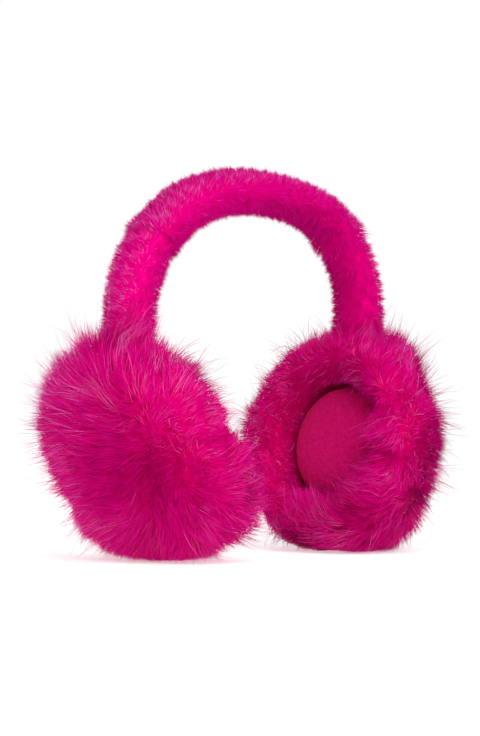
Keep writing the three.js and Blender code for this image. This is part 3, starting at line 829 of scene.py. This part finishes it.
def ear_pad(skin, rows=26, columns=72):
    """A round cushion before it is stuffed: flat back, side, and a superellipse dome."""
    turn = np.linspace(0, math.pi / 2, rows)[:-1]
    radius = PAD_RADIUS - PAD_CAP
    radii = np.concatenate([[radius / 2, radius], radius * np.cos(turn) ** PAD_FULLNESS])
    depths = np.concatenate([[PAD_BACK, PAD_BACK], PAD_FRONT - PAD_RISE * np.sin(turn)])
    angle = np.linspace(0, 2 * math.pi, columns, endpoint=False)
    radial = along(np.cos(angle), skin.up) + along(np.sin(angle), skin.sideways)
    rings = skin.middle + radii[:, None, None] * radial[None] + (depths[:, None] * skin.outward)[:, None]
    poles = [skin.middle + depth * skin.outward for depth in (PAD_BACK, PAD_FRONT - PAD_RISE)]
    points = np.concatenate([poles[:1], rings.reshape(-1, 3), poles[1:]])
    faces = body_faces(len(radii), columns)
    if skin.side < 0:
        faces = [face[:, ::-1] for face in faces]
    return points, faces


def mesh_points(mesh):
    """The points of a mesh as an array."""
    points = np.zeros(3 * len(mesh.vertices))
    mesh.vertices.foreach_get("co", points)
    return points.reshape(-1, 3)


def applied(piece):
    """Replaces the piece's mesh by what its modifiers make of it, and removes them."""
    graph = bpy.context.evaluated_depsgraph_get()
    before = piece.data
    piece.data = bpy.data.meshes.new_from_object(piece.evaluated_get(graph))
    piece.modifiers.clear()
    bpy.data.meshes.remove(before)


def stuffed(pads):
    """Swells the cushions with Blender's Cloth, all together: pressure from inside, no gravity, and the back
    held. A point moves as simulated, but no further than the cap. Then the cover is subdivided once."""
    starts = {}
    for pad, skin in pads:
        pad.modifiers.new("remesh", "REMESH").mode = "VOXEL"
        pad.modifiers["remesh"].voxel_size = PAD_VOXEL
        applied(pad)
        starts[pad.name] = mesh_points(pad.data)
        depth = (starts[pad.name] - skin.middle) @ skin.outward
        held = pad.vertex_groups.new(name="back")
        held.add(np.flatnonzero(depth > PAD_BACK - PAD_VOXEL).tolist(), 1.0, "REPLACE")
        cloth = pad.modifiers.new("cloth", "CLOTH").settings
        cloth.use_pressure = True
        cloth.uniform_pressure_force = PAD_PRESSURE
        cloth.effector_weights.gravity = 0
        cloth.vertex_group_mass = "back"
    for moment in range(1, PAD_MOMENTS + 1):
        bpy.context.scene.frame_set(moment)
    for pad, skin in pads:
        applied(pad)
        start = starts[pad.name]
        move = mesh_points(pad.data) - start
        far = np.linalg.norm(move, axis=-1, keepdims=True)
        points = start + move * np.minimum(1, PAD_CAP / np.maximum(far, 1e-9))
        pad.data.vertices.foreach_set("co", points.astype(np.float32).ravel())
        pad.modifiers.new("smooth", "SUBSURF").levels = 1
        pad.modifiers["smooth"].render_levels = 1
        applied(pad)
        gather(pad, skin)
    bpy.context.scene.frame_set(1)


def gather(pad, skin):
    """Small gathers where the cover is drawn over the cushion's edge."""
    points = mesh_points(pad.data)
    from_middle = points - skin.middle
    depth = from_middle @ skin.outward
    flat = from_middle - along(depth, skin.outward)
    radius = np.linalg.norm(flat, axis=-1)
    angle = np.arctan2(flat @ skin.sideways, flat @ skin.up)
    at_edge = np.exp(-((radius - PAD_RADIUS) / GATHER_REACH) ** 2 - ((depth - PAD_FRONT) / GATHER_REACH) ** 2)
    points += along(GATHER_HEIGHT * at_edge * np.sin(PAD_STITCHES * angle), unit(flat))
    pad.data.vertices.foreach_set("co", points.astype(np.float32).ravel())
    pad.data.polygons.foreach_set("use_smooth", np.full(len(pad.data.polygons), True))
    pad.data.update()


# Building

cups = {name: CupSkin(name, *WHORLS[name], seed) for seed, name in enumerate(WHORLS, start=3)}
band = BandSkin(cups)

cushions = [(new_piece(f"ear_cushion_{name}", *ear_pad(skin)), skin) for name, skin in cups.items()]
stuffed(cushions)
for (pad, _), name in zip(cushions, cups):
    dressed(pad, pad_cloth, "pad_cloth", f"ear_pad_{name}")

for number, (name, skin) in enumerate(cups.items()):
    seed = 100 * (number + 1)
    coat = fur_piece(f"cup_fur_coat_{name}", [
        cup_underfur(skin),
        cup_hairs(skin, seed, COAT),
    ])
    dressed(coat, cup_fur, "cup_fur", f"cup_fur_{name}")
    guard = fur_piece(f"cup_fur_guard_hair_{name}", [
        cup_hairs(skin, seed + 10, GUARD_HAIR),
        cup_hairs(skin, seed + 20, LONG_HAIR),
        cup_hairs(skin, seed + 30, WISPS),
    ])
    dressed(guard, cup_fur, "cup_fur")

half = TOP_SLEEVE_LENGTH / 2
left_end, right_end = band.reach[0], band.reach[-1]
sleeve(band, "top", -half, half, 1 * MM, 0.0, 90, TOP_SLEEVE_HAIR, (31, 32))
sleeve(band, "side_left", left_end, -half, 0.0, SIDE_SLEEVE_SLIMMING, 50, SIDE_SLEEVE_HAIR, (40, 50))
sleeve(band, "side_right", half, right_end, 0.0, SIDE_SLEEVE_SLIMMING, 50, SIDE_SLEEVE_HAIR, (42, 52))


# Floor, light and camera

def studio():
    """A white floor under a white sky, a broad soft light right of the camera and a weaker one left of it."""
    corners = FLOOR_HALF_SIZE * np.array([[-1, -1, 0], [1, -1, 0], [1, 1, 0], [-1, 1, 0]])
    floor = new_piece("floor", corners, [np.array([[0, 1, 2, 3]])])
    material, tree, output = new_material("white_paper")
    shader = node(tree, "ShaderNodeBsdfPrincipled", {
        "Base Color": (0.9, 0.9, 0.9, 1), "Roughness": 0.9, "Specular IOR Level": 0.1,
        "Emission Color": (1, 1, 1, 1), "Emission Strength": FLOOR_GLOW})
    tree.links.new(shader.outputs["BSDF"], output.inputs["Surface"])
    floor.data.materials.append(material)
    bpy.context.scene.world = white_sky()
    soft_light("key_light", azimuth=-26, elevation=32, distance=1.3, size=1.1, power=13)
    soft_light("side_light", azimuth=-105, elevation=28, distance=1.4, size=1.0, power=3.0)


def white_sky():
    """A sky that is plain white behind the part and gives it a softer light."""
    world = bpy.data.worlds.new("white_studio")
    world.use_nodes = True
    tree = world.node_tree
    tree.nodes.clear()
    path = node(tree, "ShaderNodeLightPath")
    strength = node(tree, "ShaderNodeMapRange", {
        "Value": path.outputs["Is Camera Ray"], "To Min": SKY_LIGHT, "To Max": 1.0})
    sky = node(tree, "ShaderNodeBackground", {"Color": (1, 1, 1, 1), "Strength": strength.outputs[0]})
    output = node(tree, "ShaderNodeOutputWorld")
    tree.links.new(sky.outputs["Background"], output.inputs["Surface"])
    return world


def soft_light(name, azimuth, elevation, distance, size, power):
    """A square area light that looks at the middle of the part from an azimuth and elevation in degrees."""
    light = bpy.data.lights.new(name, "AREA")
    light.size = size
    light.energy = power
    place = bpy.data.objects.new(name, light)
    way = view_direction(azimuth, elevation)
    place.location = Vector(VIEW_MIDDLE) + distance * way
    place.rotation_euler = way.to_track_quat("Z", "Y").to_euler()
    bpy.context.scene.collection.objects.link(place)


def view_direction(azimuth, elevation):
    """From the part towards a viewer. Azimuth 0 looks along +Y and 90 along -X."""
    a, e = math.radians(azimuth), math.radians(elevation)
    return Vector((math.sin(a) * math.cos(e), -math.cos(a) * math.cos(e), math.sin(e)))


def camera():
    """A long lens at the photograph's angle, wide enough for the photograph's height."""
    lens = bpy.data.cameras.new("camera")
    lens.sensor_fit = "AUTO"
    lens.sensor_width = 36
    lens.lens = lens.sensor_width * VIEW_DISTANCE / VIEW_HEIGHT
    holder = bpy.data.objects.new("camera", lens)
    way = view_direction(VIEW_AZIMUTH, VIEW_ELEVATION)
    holder.location = Vector(VIEW_MIDDLE) + VIEW_DISTANCE * way
    holder.rotation_euler = way.to_track_quat("Z", "Y").to_euler()
    bpy.context.scene.collection.objects.link(holder)
    bpy.context.scene.camera = holder


studio()
camera()
bpy.context.scene.view_settings.view_transform = "Standard"
